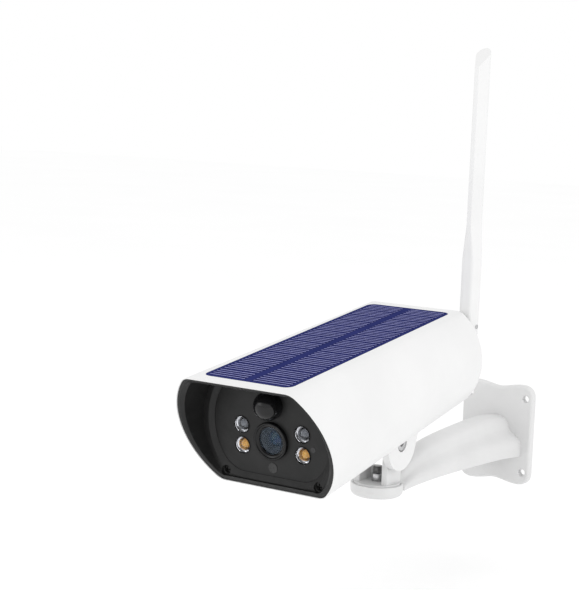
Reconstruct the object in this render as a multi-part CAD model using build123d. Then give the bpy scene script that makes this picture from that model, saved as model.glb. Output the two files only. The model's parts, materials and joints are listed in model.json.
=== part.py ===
from build123d import *
import math
import os

os.makedirs("parts", exist_ok=True)

# ---------------------------------------------------------------- driving dimensions (mm)
# World frame: origin at the middle of the wall plate's back, wall along XZ, camera looks to -Y, Z up.
# The camera head is drawn in its own frame: origin at the lens, front to -Y, then tipped nose down.

# wall bracket
PLATE_W, PLATE_H, PLATE_T = 56.0, 73.0, 5.5
PLATE_DIP = 2.6                      # how far the top and bottom edges dip at the middle
HOLE_X, HOLE_Z, HOLE_D = 22.3, 27.0, 5.0
ARM_REACH = 174.5                    # wall to the pan axis
DISC_R, DISC_TOP, DISC_T = 17.0, -7.8, 8.0
TRAY_R, TRAY_DEPTH = 15.6, 1.6
ARM_WALL = 3.0

# swivel block and tilt axis
TILT_Z = 20.2                        # height of the tilt axis above the plate's middle
STUD_R = 3.0
FLOOR_T = 2.7
CHEEK_X, CHEEK_T = 12.0, 3.7
WASHER_T = 0.6
EAR_T, EAR_R = 4.8, 17.5
SCREW_R = 2.5                        # tilt screw shank
FIT = 0.05                           # radial running clearance

# camera head
NOSE_DOWN = 8.0                      # rest attitude, degrees
PIVOT_Y, PIVOT_Z = 119.0, -35.2      # tilt axis seen from the lens
TOP_Z = 42.0
BELLY_Z, BELLY_RISE = -29.1, 0.0568  # underside at the front rim, rise per mm towards the back
HALF_W, SIDE_TAPER = 52.3, 0.0195    # half width at the front, loss per mm towards the back
CORNER_RATIO, CORNER_R = 0.694, 9.0
RIM_TOP_Y, RIM_LOW_Y = -33.0, -2.85  # raked front opening
REAR_Y = 171.5
WALL = 2.6
LIP = 0.6                            # thin white edge round the front
CLEAR = 0.15

# face
FACE_Z = 6.5                         # middle height of the flat face panel
FACE_W, FACE_H, FACE_R, FACE_T = 40.3, 28.2, 18.0, 2.2
BACK_Y = 4.6                         # back of the bezel
LED_X, LED_HI, LED_LO, LED_R = 21.1, 6.7, -5.85, 5.5
PIR_Z, PIR_R, PIR_NECK = 21.7, 8.6, 2.5
EYE_R, EYE_OUT = 11.4, 2.6
DUSK_Z, DUSK_R = -16.7, 3.0
LAMP_X, LAMP_Z, LAMP_R = 28.5, -1.2, 1.7
BEZEL_SCREW_X, BEZEL_SCREW_Z = 32.3, -22.5
BOARD_Y, BOARD_T = 8.0, 1.6

# solar roof
SUN_W, SUN_Y0, SUN_R = 60.0, -23.3, 5.0
SUN_REAR = 9.2                       # white border behind the laminate
SUN_L = REAR_Y - SUN_REAR - SUN_Y0
POCKET_T = 1.4
BACKING_T, CELL_T, COVER_PROUD = 0.5, 0.2, 0.15
CELL_ROWS, CELL_GAP, SUN_EDGE, SUN_SPINE = 13, 0.9, 2.2, 5.0

# inside
CELL18_R, CELL18_L, CELL18_N, CELL18_PITCH = 9.2, 65.0, 3, 20.0
TRAY_Z, TRAY_Y = -19.0, 62.0         # top of the floor ribs, middle of the battery tray
MAIN_Z, MAIN_W, MAIN_Y0 = 10.0, 80.0, 24.0
MAIN_Y1 = REAR_Y - 37.5              # leaves room for the speaker and its plugs

# back plate
CAP_T, CAP_SUNK = 3.0, 2.5           # back plate and how far it sits inside the rim
CAP_Y = REAR_Y - CAP_SUNK - CAP_T
SEAL_T, LEDGE_T, LEDGE_IN = 1.2, 2.0, 6.2
POWER_X, POWER_Z, POWER_R = 6.0, 20.0, 4.5
RESET_X, RESET_Z, RESET_R = 6.0, 7.0, 2.5
BUTTON_TRAVEL = 1.2
SPEAKER_X, SPEAKER_Z, SPEAKER_R = -18.0, 8.0, 12.0
PORT_X, PORT_Z, PORT_R = 30.0, -6.0, 6.0
CAP_SCREW_TOP, CAP_SCREW_LOW = TOP_Z - 7.0, BELLY_Z + BELLY_RISE * (CAP_Y - RIM_LOW_Y) + 6.9
CAP_SCREWS = [(-17.0, CAP_SCREW_TOP), (17.0, CAP_SCREW_TOP), (-16.0, CAP_SCREW_LOW), (16.0, CAP_SCREW_LOW)]

# antenna
ANT_X, ANT_Z, HINGE_Y = 32.8, 29.3, REAR_Y + 10.0
STEM_R, NECK_R, KNUCKLE_R, KNUCKLE_W = 4.0, 3.8, 4.6, 7.6
ANT_LEN, FORK_LEN, FOOT_LEN, WAIST_LEN = 180.0, 12.4, 44.0, 66.0
EAR_END_R = 5.2
# half front edge, front depth, half width, back depth, front corner radius
FOOT_FORM = (4.2, 6.2, 6.3, 6.2, 2.6)
BLADE_FORM = (1.5, 7.3, 5.3, 5.0, 0.7)
SIDE_ROUND = 2.5
TIP_CUT = 45.0                       # slope of the blade's tip, degrees
PIN_R = 1.5

HEAD = Pos(0, -ARM_REACH, TILT_Z) * Rot(NOSE_DOWN, 0, 0) * Pos(0, -PIVOT_Y, -PIVOT_Z)
DISC_LOW = DISC_TOP - DISC_T
TRAY_FLOOR = DISC_TOP - TRAY_DEPTH


def save(name, shape, place=None):
    """Write one node, moved into the world frame first when a place is given."""
    shape = shape if place is None else place * shape
    if isinstance(shape, (list, tuple, ShapeList)):
        shape = Compound(children=list(shape))
    export_step(shape, f"parts/{name}.step")


def group(solids, place=None):
    """Separate solids of one kind kept together as one node."""
    return Compound(children=[s if place is None else place * s for s in solids])


def rod(radius, length, x=0.0, y=0.0, z=0.0, axis="y"):
    """Cylinder starting at a point and running along +axis."""
    turn = {"x": Rot(0, 90, 0), "y": Rot(-90, 0, 0), "z": Rot(0, 0, 0)}[axis]
    return Pos(x, y, z) * turn * Pos(0, 0, length / 2) * Cylinder(radius, length)


def cone(r0, r1, length, x=0.0, y=0.0, z=0.0, axis="y"):
    """Cone frustum starting with r0 at a point and running along +axis."""
    turn = {"x": Rot(0, 90, 0), "y": Rot(-90, 0, 0), "z": Rot(0, 0, 0)}[axis]
    return Pos(x, y, z) * turn * Pos(0, 0, length / 2) * Cone(r0, r1, length)


def slab(x0, x1, y0, y1, z0, z1):
    return Pos((x0 + x1) / 2, (y0 + y1) / 2, (z0 + z1) / 2) * Box(x1 - x0, y1 - y0, z1 - z0)


# ---------------------------------------------------------------- barrel section of the head
def upright(y):
    return Plane(origin=(0, y, 0), x_dir=(1, 0, 0), z_dir=(0, -1, 0))


def barrel(plane, half_w, z_top, z_low, corner, inset=0.0):
    """Flat top and bottom joined by bulging sides, drawn on a plane, shrunk by inset."""
    cw, zm = half_w * CORNER_RATIO, (z_top + z_low) / 2
    with BuildSketch(plane) as sk:
        with BuildLine():
            Line((-cw, z_top), (cw, z_top))
            ThreePointArc((cw, z_top), (half_w, zm), (cw, z_low))
            Line((cw, z_low), (-cw, z_low))
            ThreePointArc((-cw, z_low), (-half_w, zm), (-cw, z_top))
        make_face()
        fillet(sk.vertices(), corner)
        if inset:
            offset(amount=-inset)
    return sk.sketch.faces()[0]


def station(y, inset=0.0):
    """Outline of the housing across its length at y."""
    half_w = HALF_W - SIDE_TAPER * (y + 18)
    low = BELLY_Z + BELLY_RISE * (y - RIM_LOW_Y)
    return barrel(upright(y), half_w, TOP_Z, low, CORNER_R, inset)


def tube(y0, y1, inset=0.0):
    """Solid that follows the housing between two stations, shrunk by inset."""
    return loft([station(y0, inset), station(y1, inset)], ruled=True)


def belly(y):
    return BELLY_Z + BELLY_RISE * (y - RIM_LOW_Y)


RAKE = math.degrees(math.atan2(RIM_LOW_Y - RIM_TOP_Y, TOP_Z - BELLY_Z))


def rim_plane(back=0.0):
    """Plane of the raked front opening, moved back along the head's axis."""
    r = math.radians(RAKE)
    mid_y = (RIM_TOP_Y + RIM_LOW_Y) / 2 + back
    return Plane(origin=(0, mid_y, (TOP_Z + BELLY_Z) / 2), x_dir=(1, 0, 0),
                 z_dir=(0, -math.cos(r), -math.sin(r)))


def behind(shape, back=0.0):
    return split(shape, bisect_by=rim_plane(back), keep=Keep.BOTTOM)


def face_outline(y, grow=0.0, corner=FACE_R):
    return barrel(upright(y), FACE_W + grow, FACE_Z + FACE_H + grow, FACE_Z - FACE_H - grow, corner)


def prism(face, length):
    """Push a face drawn on an upright plane towards +Y."""
    return extrude(face, amount=length, dir=(0, 1, 0))


# ---------------------------------------------------------------- wall bracket
def wall_plate():
    w, h = PLATE_W / 2, PLATE_H / 2
    lobe, r = w * 0.66, 9.0
    with BuildSketch(upright(0)) as sk:
        with BuildLine():
            Spline((-lobe, h), (0, h - PLATE_DIP), (lobe, h), tangents=[(1, 0), (1, 0)])
            Spline((lobe, h), (w - r * 0.22, h - r * 0.32), (w, h - r), tangents=[(1, 0), (0, -1)])
            Line((w, h - r), (w, r - h))
            Spline((w, r - h), (w - r * 0.22, r * 0.32 - h), (lobe, -h), tangents=[(0, -1), (-1, 0)])
            Spline((lobe, -h), (0, PLATE_DIP - h), (-lobe, -h), tangents=[(-1, 0), (-1, 0)])
            Spline((-lobe, -h), (r * 0.22 - w, r * 0.32 - h), (-w, r - h), tangents=[(-1, 0), (0, 1)])
            Line((-w, r - h), (-w, h - r))
            Spline((-w, h - r), (r * 0.22 - w, h - r * 0.32), (-lobe, h), tangents=[(0, 1), (1, 0)])
        make_face()
    plate = extrude(sk.sketch.faces()[0], amount=PLATE_T)
    front = plate.faces().sort_by(Axis.Y)[0]
    plate = fillet(front.edges(), 1.8)
    for sx in (-1, 1):
        for sz in (-1, 1):
            x, z = sx * HOLE_X, sz * HOLE_Z
            plate -= rod(HOLE_D / 2, PLATE_T + 2, x, -PLATE_T - 1, z)
            plate -= cone(HOLE_D / 2 + 0.6, HOLE_D / 2, 0.6, x, -PLATE_T, z)
    return plate


def bell(y, skirt, low, lip, neck, neck_z, top):
    """Section of the arm: a round ridge over a flared skirt, flat underneath."""
    shoulder = (neck * 0.72, neck_z + (top - neck_z) * 0.7)
    with BuildSketch(upright(y)) as sk:
        with BuildLine():
            Line((-skirt, low), (skirt, low))
            Line((skirt, low), (skirt, low + lip))
            Spline((skirt, low + lip), (neck, neck_z), shoulder, (0, top), tangents=[(0, 1), (-1, 0)])
            Spline((0, top), (-shoulder[0], shoulder[1]), (-neck, neck_z), (-skirt, low + lip),
                   tangents=[(-1, 0), (0, -1)])
            Line((-skirt, low + lip), (-skirt, low))
        make_face()
    return sk.sketch.faces()[0]


def arm_rows():
    """Skirt, underside, lip, neck and ridge of the arm at shares of its reach."""
    return [(0.0, 20.5, -15.4, 7.4, 11.2, 3.6, 13.0), (0.33, 18.2, -12.2, 6.0, 10.8, 4.2, 14.0),
            (0.64, 14.8, -12.0, 4.2, 9.6, 1.0, 10.0), (0.80, 13.0, -12.8, 3.0, 8.4, -3.6, 2.5),
            (0.905, 11.5, -14.4, 1.6, 7.2, -10.6, -8.6)]


def arm_y(share):
    return -PLATE_T - share * (ARM_REACH - PLATE_T)


def hollow(y, low, neck, top):
    """Channel that lightens the arm from below."""
    w, h = neck - ARM_WALL, top - ARM_WALL
    with BuildSketch(upright(y)) as sk:
        with BuildLine():
            Polyline((-w, h - w), (-w, low - 2), (w, low - 2), (w, h - w))
            ThreePointArc((w, h - w), (0, h), (-w, h - w))
        make_face()
    return sk.sketch.faces()[0]


def wall_bracket():
    arm = loft([bell(arm_y(share), *row) for share, *row in arm_rows()])
    channel = [hollow(arm_y(share), low, neck, top) for share, _, low, _, neck, _, top in arm_rows()[:3]]
    disc = rod(DISC_R, DISC_T, 0, -ARM_REACH, DISC_LOW, "z")
    disc = fillet(disc.edges().filter_by(GeomType.CIRCLE).sort_by(Axis.Z)[0], 3.6)
    body = wall_plate() + arm + disc
    body -= loft(channel)
    body -= rod(TRAY_R, 40, 0, -ARM_REACH, TRAY_FLOOR, "z")
    body -= rod(STUD_R + 0.2, 30, 0, -ARM_REACH, DISC_LOW - 5, "z")
    body -= Pos(0, -ARM_REACH, DISC_LOW - 1) * extrude(RegularPolygon(5.85, 6), amount=4.4)
    return body


save("wall_bracket", wall_bracket())

# ---------------------------------------------------------------- pan stud and its nut
COLLAR_Z = TRAY_FLOOR + FLOOR_T
stud = rod(STUD_R, 18.4, 0, -ARM_REACH, DISC_LOW + 0.6, "z")
stud += rod(STUD_R + 0.7, 4.9, 0, -ARM_REACH, COLLAR_Z + FIT, "z")
stud = stud.solids()[0]
nut_low = DISC_LOW + 0.2
nut = Pos(0, -ARM_REACH, nut_low) * extrude(RegularPolygon(5.7, 6), amount=3.2)
nut -= rod(STUD_R, 20, 0, -ARM_REACH, DISC_LOW - 5, "z")
save("pan_stud", stud)
save("pan_nut", nut)

# ---------------------------------------------------------------- swivel block
def swivel_block():
    base = rod(TRAY_R - 0.4, FLOOR_T, 0, -ARM_REACH, TRAY_FLOOR, "z")
    top_r = -PIVOT_Z + belly(PIVOT_Y) - 5.6
    top_r = min(top_r, 8.0)
    cheeks = None
    for side in (-1, 1):
        x0 = min(side * CHEEK_X, side * (CHEEK_X - CHEEK_T))
        with BuildSketch(Plane(origin=(x0, -ARM_REACH, 0), x_dir=(0, 1, 0), z_dir=(1, 0, 0))) as sk:
            with BuildLine():
                Polyline((-8.6, COLLAR_Z - 0.2), (9.2, COLLAR_Z - 0.2), (9.2, COLLAR_Z + 8), (top_r, TILT_Z))
                Line((top_r, TILT_Z), (-top_r, TILT_Z))
                Polyline((-top_r, TILT_Z), (-8.6, COLLAR_Z + 12), (-8.6, COLLAR_Z - 0.2))
            make_face()
            with Locations((0, TILT_Z)):
                Circle(top_r)
        cheek = extrude(sk.sketch, amount=CHEEK_T)
        cheeks = cheek if cheeks is None else cheeks + cheek
    rear = slab(-CHEEK_X, CHEEK_X, 5.6, 9.2, COLLAR_Z - 0.2, COLLAR_Z + 8)
    block = base + cheeks + Pos(0, -ARM_REACH, 0) * rear
    block -= rod(STUD_R + FIT, 20, 0, -ARM_REACH, TRAY_FLOOR - 5, "z")
    block -= rod(SCREW_R + FIT, 60, -30, -ARM_REACH, TILT_Z, "x")
    return block


save("swivel_block", swivel_block())

# ---------------------------------------------------------------- housing
inner_y0 = RIM_TOP_Y - 8


def housing():
    shell = behind(tube(inner_y0, REAR_Y))
    rear = shell.faces().sort_by(Axis.Y)[-1]
    shell = fillet(rear.edges(), 2.4)
    shell -= tube(inner_y0, REAR_Y + 2, WALL)
    rebate = tube(inner_y0, REAR_Y, LIP) - behind(tube(inner_y0, REAR_Y, LIP), 3.2)
    shell -= rebate
    # ledges that carry the front and back seals
    for y0 in (BACK_Y + SEAL_T, CAP_Y - SEAL_T - LEDGE_T):
        shell += tube(y0, y0 + LEDGE_T, WALL - 0.4) - tube(y0 - 1, y0 + LEDGE_T + 1, LEDGE_IN)
    # bosses, ribs and posts, trimmed by the outside
    hull = tube(BACK_Y, REAR_Y - 5, 0.6)
    lugs = []
    for side in (-1, 1):
        x = side * BEZEL_SCREW_X
        lugs.append(rod(4.0, 12.0, x, BACK_Y, BEZEL_SCREW_Z))
        for y in (MAIN_Y0 + 8, MAIN_Y1 - 8):
            lugs.append(rod(3.0, MAIN_Z + 30, side * (MAIN_W / 2 - 3.5), y, -30, "z"))
        for y in (PIVOT_Y - 14, PIVOT_Y + 14):
            lugs.append(rod(3.2, 10.0, side * 8.5, y, belly(y) + 1.0, "z"))
    for x, z in CAP_SCREWS:
        lugs.append(rod(3.2, 14.0, x, CAP_Y - 14.0, z))
        z_wall = TOP_Z - 1.0 if z > 0 else belly(CAP_Y) + 1.0
        lugs.append(slab(x - 2.4, x + 2.4, CAP_Y - 14.0, CAP_Y - SEAL_T, min(z, z_wall), max(z, z_wall)))
    for y in (TRAY_Y - 24, TRAY_Y + 24):
        lugs.append(slab(-26, 26, y - 1.6, y + 1.6, -30, TRAY_Z))
    for lug in lugs:
        shell += lug & hull
    # screw holes
    for side in (-1, 1):
        shell -= rod(1.5, 10.0, side * BEZEL_SCREW_X, BACK_Y - 1, BEZEL_SCREW_Z)
        for y in (MAIN_Y0 + 8, MAIN_Y1 - 8):
            shell -= rod(1.25, 7.0, side * (MAIN_W / 2 - 3.5), y, MAIN_Z - 6, "z")
        for y in (PIVOT_Y - 14, PIVOT_Y + 14):
            shell -= rod(1.5, 12.0, side * 8.5, y, belly(y) - 4.0, "z")
    for x, z in CAP_SCREWS:
        shell -= rod(1.25, 10.0, x, CAP_Y - 9.0, z)
    shell -= rod(STEM_R + 2.0, 12.0, ANT_X, CAP_Y - 10.0, ANT_Z)
    # roof pocket for the solar laminate
    pocket = slab(-SUN_W / 2 - 0.2, SUN_W / 2 + 0.2, SUN_Y0 - 0.2, SUN_Y0 + SUN_L + 0.2,
                  TOP_Z - POCKET_T, TOP_Z + 5)
    pocket = fillet(pocket.edges().filter_by(Axis.Z), SUN_R + 0.2)
    shell -= pocket
    shell -= rod(1.6, 10, 0, SUN_Y0 + 40, TOP_Z - 8, "z")
    return shell


save("housing", housing(), HEAD)

# ---------------------------------------------------------------- bezel, seal and face panel
def mouth_outline(top_back, low_back, inset):
    """Hood opening on a plane set back from the rim by one amount at the top and one at the bottom."""
    y_top, y_low = RIM_TOP_Y + top_back, RIM_LOW_Y + low_back
    height = TOP_Z - BELLY_Z
    slope = math.atan2(y_low - y_top, height)
    plane = Plane(origin=(0, (y_top + y_low) / 2, (TOP_Z + BELLY_Z) / 2), x_dir=(1, 0, 0),
                  z_dir=(0, -math.cos(slope), -math.sin(slope)))
    half = height / 2 / math.cos(slope)
    return barrel(plane, HALF_W, half, -half, CORNER_R, inset)


def bezel():
    outer = behind(tube(inner_y0, BACK_Y, WALL + CLEAR), 0.5)
    flange = behind(tube(inner_y0, BACK_Y, LIP + CLEAR), 0.5)
    flange -= behind(tube(inner_y0 - 2, BACK_Y + 4, LIP - 1), 3.0)
    body = outer + flange
    # raked mouth flaring from a thin edge to the wall, then narrowing to the floor round the panel
    far = mouth_outline(-6.0, -6.0, LIP + 0.9)
    lip = mouth_outline(0.0, 0.0, LIP + 0.9)
    throat = mouth_outline(3.6, 0.2, WALL + CLEAR + 1.3)
    floor_y, bevel = -2.4, 3.2
    floor = barrel(upright(floor_y), 47.0, TOP_Z - 4.3, BELLY_Z + 3.9, CORNER_R + 1)
    for front, back in ((far, lip), (lip, throat), (throat, floor)):
        body -= loft([front, back], ruled=True)
    body -= loft([face_outline(floor_y - 0.01, bevel, FACE_R + 2), face_outline(-0.2, 0.2)], ruled=True)
    body -= prism(face_outline(-0.5, CLEAR), 0.5 + FACE_T)
    body -= prism(barrel(upright(0), FACE_W - 3, FACE_Z + FACE_H - 3, FACE_Z - FACE_H + 3, FACE_R - 3), 20)
    # posts that carry the lamp board
    for sx in (-1, 1):
        for sz in (-1, 1):
            x, z = sx * 36.5, FACE_Z + sz * 15.5
            body += rod(2.6, BOARD_Y - BACK_Y + 0.6, x, BACK_Y - 0.6, z)
            body -= rod(1.25, 5.0, x, BOARD_Y - 4.4, z)
        x = sx * BEZEL_SCREW_X
        body -= rod(1.7, 30, x, -20, BEZEL_SCREW_Z)
        body -= rod(3.0, 20, x, floor_y + 1.5 - 20, BEZEL_SCREW_Z)
        body -= cone(3.0, 1.7, 1.4, x, floor_y + 1.5, BEZEL_SCREW_Z)
    return body


save("front_bezel", bezel(), HEAD)

seal = tube(BACK_Y, BACK_Y + SEAL_T, WALL + CLEAR) - tube(BACK_Y - 1, BACK_Y + SEAL_T + 1, LEDGE_IN)
for side in (-1, 1):
    seal -= rod(4.3, 10, side * BEZEL_SCREW_X, BACK_Y - 3, BEZEL_SCREW_Z)
save("front_seal", seal, HEAD)

screws = []
for side in (-1, 1):
    x = side * BEZEL_SCREW_X
    screw = cone(2.9, 1.5, 1.5, x, -0.9, BEZEL_SCREW_Z) + rod(1.5, 12.0, x, -0.9, BEZEL_SCREW_Z)
    screws.append(screw.solids()[0])
save("bezel_screws", group(screws, HEAD))

panel = prism(face_outline(0), FACE_T)
leds = [(sx * LED_X, z) for sx in (-1, 1) for z in (LED_HI, LED_LO)]
for x, z in leds:
    panel -= rod(LED_R, 9, x, -3, z)
panel -= rod(PIR_R, 9, 0, -3, PIR_Z)
panel -= rod(EYE_R - 2.9, 9, 0, -3, 0)
panel -= rod(DUSK_R, 9, 0, -3, DUSK_Z)
panel -= rod(LAMP_R, 9, LAMP_X, -3, LAMP_Z)
save("face_panel", panel, HEAD)

# ---------------------------------------------------------------- lens
ring = rod(EYE_R, EYE_OUT, 0, -EYE_OUT, 0)
ring = fillet(ring.edges().filter_by(GeomType.CIRCLE).sort_by(Axis.Y)[0], 0.8)
ring += rod(EYE_R - 2.9, 3.2, 0, 0, 0)
ring -= cone(EYE_R - 1.6, EYE_R - 3.6, 1.4, 0, -EYE_OUT, 0)
ring -= rod(EYE_R - 3.6, 12, 0, -EYE_OUT + 1.0, 0)
ring -= rod(EYE_R - 3.2, 0.9, 0, -EYE_OUT + 1.4, 0)
save("lens_ring", ring, HEAD)
save("lens_window", rod(EYE_R - 3.2, 0.9, 0, -EYE_OUT + 1.4, 0), HEAD)

barrel_r = 7.0
lens_barrel = rod(barrel_r, 13.2, 0, -0.2, 0)
lens_barrel -= cone(6.2, 4.4, 3.0, 0, -0.2, 0)
lens_barrel -= rod(4.4, 20, 0, 2.0, 0)
save("lens_barrel", lens_barrel, HEAD)
element = rod(4.4, 4.0, 0, 4.0, 0)
element += Pos(0, 4.0, 0) * Rot(-90, 0, 0) * (Pos(0, 0, 4.4) * Sphere(6.2) & Pos(0, 0, -2) * Cylinder(4.4, 4))
save("lens_element", element.solids()[0], HEAD)

holder = slab(-9.5, 9.5, 6.0, 16.0, -9.5, 9.5)
holder -= rod(barrel_r, 7.0, 0, 6.0, 0)
holder -= slab(-6.5, 6.5, 13.0, 16.0, -6.5, 6.5)
save("lens_holder", holder, HEAD)
save("image_sensor", slab(-4.8, 4.8, 14.8, 16.0, -3.6, 3.6), HEAD)
sensor_board = slab(-14, 14, 16.0, 17.4, -14, 14)
corners = [(sx * 11.8, sz * 11.8) for sx in (-1, 1) for sz in (-1, 1)]
for x, z in corners:
    sensor_board -= rod(1.1, 5, x, 14, z)
save("sensor_board", sensor_board, HEAD)
spacers = [rod(2.0, 16.0 - BOARD_Y - BOARD_T, x, BOARD_Y + BOARD_T, z) - rod(1.1, 20, x, 5, z) for x, z in corners]
save("board_spacers", group(spacers, HEAD))

# ---------------------------------------------------------------- lamps, motion sensor, dusk sensor
lamp_board = prism(barrel(upright(BOARD_Y), 44.0, FACE_Z + 27, FACE_Z - 22, CORNER_R), BOARD_T)
lamp_board -= slab(-10, 10, 0, 20, -10, 10)
for sx in (-1, 1):
    for sz in (-1, 1):
        lamp_board -= rod(1.25, 9, sx * 36.5, 5, FACE_Z + sz * 15.5)
for x, z in corners:
    lamp_board -= rod(1.1, 9, x, 5, z)
save("lamp_board", lamp_board, HEAD)
screws = []
for sx in (-1, 1):
    for sz in (-1, 1):
        x, z = sx * 36.5, FACE_Z + sz * 15.5
        screw = rod(1.25, 5.0, x, BOARD_Y - 3.4, z) + rod(2.4, 1.6, x, BOARD_Y + BOARD_T, z)
        screws.append(screw.solids()[0])
save("lamp_board_screws", group(screws, HEAD))

cups, windows, diodes = [], [], {LED_HI: [], LED_LO: []}
for x, z in leds:
    cup = rod(LED_R, BOARD_Y + 0.5, x, -0.5, z)
    cup -= rod(LED_R - 0.5, 1.1, x, -0.5, z)
    cup -= cone(LED_R - 0.9, 2.6, 4.4, x, 0.6, z)
    cup -= rod(2.6, 9, x, 3.0, z)
    cups.append(cup)
    dome = Pos(x, 0.6, z) * Rot(-90, 0, 0) * (Pos(0, 0, 6.4) * Sphere(8.1) & Pos(0, 0, -1) * Cylinder(5, 2))
    windows.append((dome & rod(LED_R - 0.5, 6, x, -3.4, z)).solids()[0])
    diode = rod(2.5, BOARD_Y - 3.6, x, 3.6, z) + Pos(x, 3.6, z) * Sphere(2.5)
    diodes[z].append(diode.solids()[0])
save("lamp_cups", group(cups, HEAD))
save("lamp_windows", group(windows, HEAD))
save("ir_diodes", group(diodes[LED_HI], HEAD))
save("white_diodes", group(diodes[LED_LO], HEAD))

# half ball on a short neck, flange held behind the panel
def ball_mid(r):
    return r * math.sin(math.pi / 4), -PIR_NECK - r * math.cos(math.pi / 4)


skin = 0.9
inner_r = PIR_R - skin
with BuildSketch(Plane.XY) as sk:
    with BuildLine():
        ThreePointArc((0, -PIR_NECK - PIR_R), ball_mid(PIR_R), (PIR_R, -PIR_NECK))
        Polyline((PIR_R, -PIR_NECK), (PIR_R, FACE_T), (PIR_R + 1, FACE_T), (PIR_R + 1, FACE_T + skin),
                 (inner_r, FACE_T + skin), (inner_r, -PIR_NECK))
        ThreePointArc((inner_r, -PIR_NECK), ball_mid(inner_r), (0, -PIR_NECK - inner_r))
        Line((0, -PIR_NECK - inner_r), (0, -PIR_NECK - PIR_R))
    make_face()
pir = Pos(0, 0, PIR_Z) * revolve(sk.sketch, Axis.Y)
save("motion_lens", pir, HEAD)
save("motion_sensor", rod(4.6, 4.0, 0, BOARD_Y - 4.0, PIR_Z) + rod(5.2, 0.6, 0, BOARD_Y - 0.6, PIR_Z), HEAD)
save("dusk_window", rod(DUSK_R, FACE_T + 0.3, 0, -0.3, DUSK_Z), HEAD)
save("status_lamp", rod(LAMP_R, BOARD_Y + 0.2, LAMP_X, -0.2, LAMP_Z), HEAD)

# ---------------------------------------------------------------- solar roof
def rounded_sheet(z0, thick):
    sheet = slab(-SUN_W / 2, SUN_W / 2, SUN_Y0, SUN_Y0 + SUN_L, z0, z0 + thick)
    return fillet(sheet.edges().filter_by(Axis.Z), SUN_R)


z_cell = TOP_Z - POCKET_T + BACKING_T
save("solar_backing", rounded_sheet(TOP_Z - POCKET_T, BACKING_T), HEAD)
row_l = (SUN_L - 2 * SUN_EDGE - (CELL_ROWS - 1) * CELL_GAP) / CELL_ROWS
col_w = (SUN_W - 2 * SUN_EDGE - SUN_SPINE) / 2
cells = []
for row in range(CELL_ROWS):
    y0 = SUN_Y0 + SUN_EDGE + row * (row_l + CELL_GAP)
    for side in (-1, 1):
        xc = side * (SUN_SPINE + col_w) / 2
        cells.append(slab(xc - col_w / 2, xc + col_w / 2, y0, y0 + row_l, z_cell, z_cell + CELL_T))
cover = rounded_sheet(z_cell, TOP_Z + COVER_PROUD - z_cell)
for cell in cells:
    cover -= cell
save("solar_cells", group(cells, HEAD))
save("solar_cover", cover, HEAD)

# ---------------------------------------------------------------- battery and main board
half = CELL18_L / 2
z_axis = TRAY_Z + 1.6 + CELL18_R
wide = CELL18_PITCH * (CELL18_N - 1) / 2 + CELL18_R + 1.8
tray = slab(-wide, wide, TRAY_Y - half - 2, TRAY_Y + half + 2, TRAY_Z, TRAY_Z + 1.6)
for y0 in (TRAY_Y - half - 2.0, TRAY_Y + half + 0.4):
    tray += slab(-wide, wide, y0, y0 + 1.6, TRAY_Z, TRAY_Z + 14)
for side in (-1, 1):
    x0 = min(side * wide, side * (wide - 1.4))
    tray += slab(x0, x0 + 1.4, TRAY_Y - half - 2, TRAY_Y + half + 2, TRAY_Z, TRAY_Z + 8)
save("battery_tray", tray, HEAD)
packs = []
for i in range(CELL18_N):
    x = (i - (CELL18_N - 1) / 2) * CELL18_PITCH
    packs.append(fillet(rod(CELL18_R, CELL18_L, x, TRAY_Y - half, z_axis).edges(), 0.6))
save("battery_cells", group(packs, HEAD))
tabs = [slab(-wide + 4, wide - 4, y0, y0 + 0.4, z_axis - 4, z_axis + 4)
        for y0 in (TRAY_Y - half - 0.4, TRAY_Y + half)]
save("battery_contacts", group(tabs, HEAD))

main = slab(-MAIN_W / 2, MAIN_W / 2, MAIN_Y0, MAIN_Y1, MAIN_Z, MAIN_Z + 1.6)
main_screws = []
for side in (-1, 1):
    for y in (MAIN_Y0 + 8, MAIN_Y1 - 8):
        x = side * (MAIN_W / 2 - 3.5)
        main -= rod(1.25, 9, x, y, MAIN_Z - 3, "z")
        screw = rod(1.25, 6.6, x, y, MAIN_Z - 5, "z") + rod(2.4, 1.6, x, y, MAIN_Z + 1.6, "z")
        main_screws.append(screw.solids()[0])
save("main_board", main, HEAD)
save("main_board_screws", group(main_screws, HEAD))
save("radio_shield", slab(-16, 14, MAIN_Y1 - 50, MAIN_Y1 - 22, MAIN_Z + 1.6, MAIN_Z + 5.0), HEAD)
save("card_slot", slab(16, 31, 50, 65, MAIN_Z + 1.6, MAIN_Z + 3.6), HEAD)
save("board_plugs", group([slab(x, x + 9, y, y + 6, MAIN_Z + 1.6, MAIN_Z + 6.4)
                           for x, y in ((-30, 30), (-15, 30), (0, 30), (-30, MAIN_Y1 - 16))], HEAD))

# ---------------------------------------------------------------- back plate
seal = tube(CAP_Y - SEAL_T, CAP_Y, WALL + CLEAR) - tube(CAP_Y - 3, CAP_Y + 1, LEDGE_IN)
for x, z in CAP_SCREWS:
    seal -= rod(3.4, 8, x, CAP_Y - 4, z)
seal -= rod(STEM_R + 2.0, 8, ANT_X, CAP_Y - 4, ANT_Z)
save("back_seal", seal, HEAD)

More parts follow.
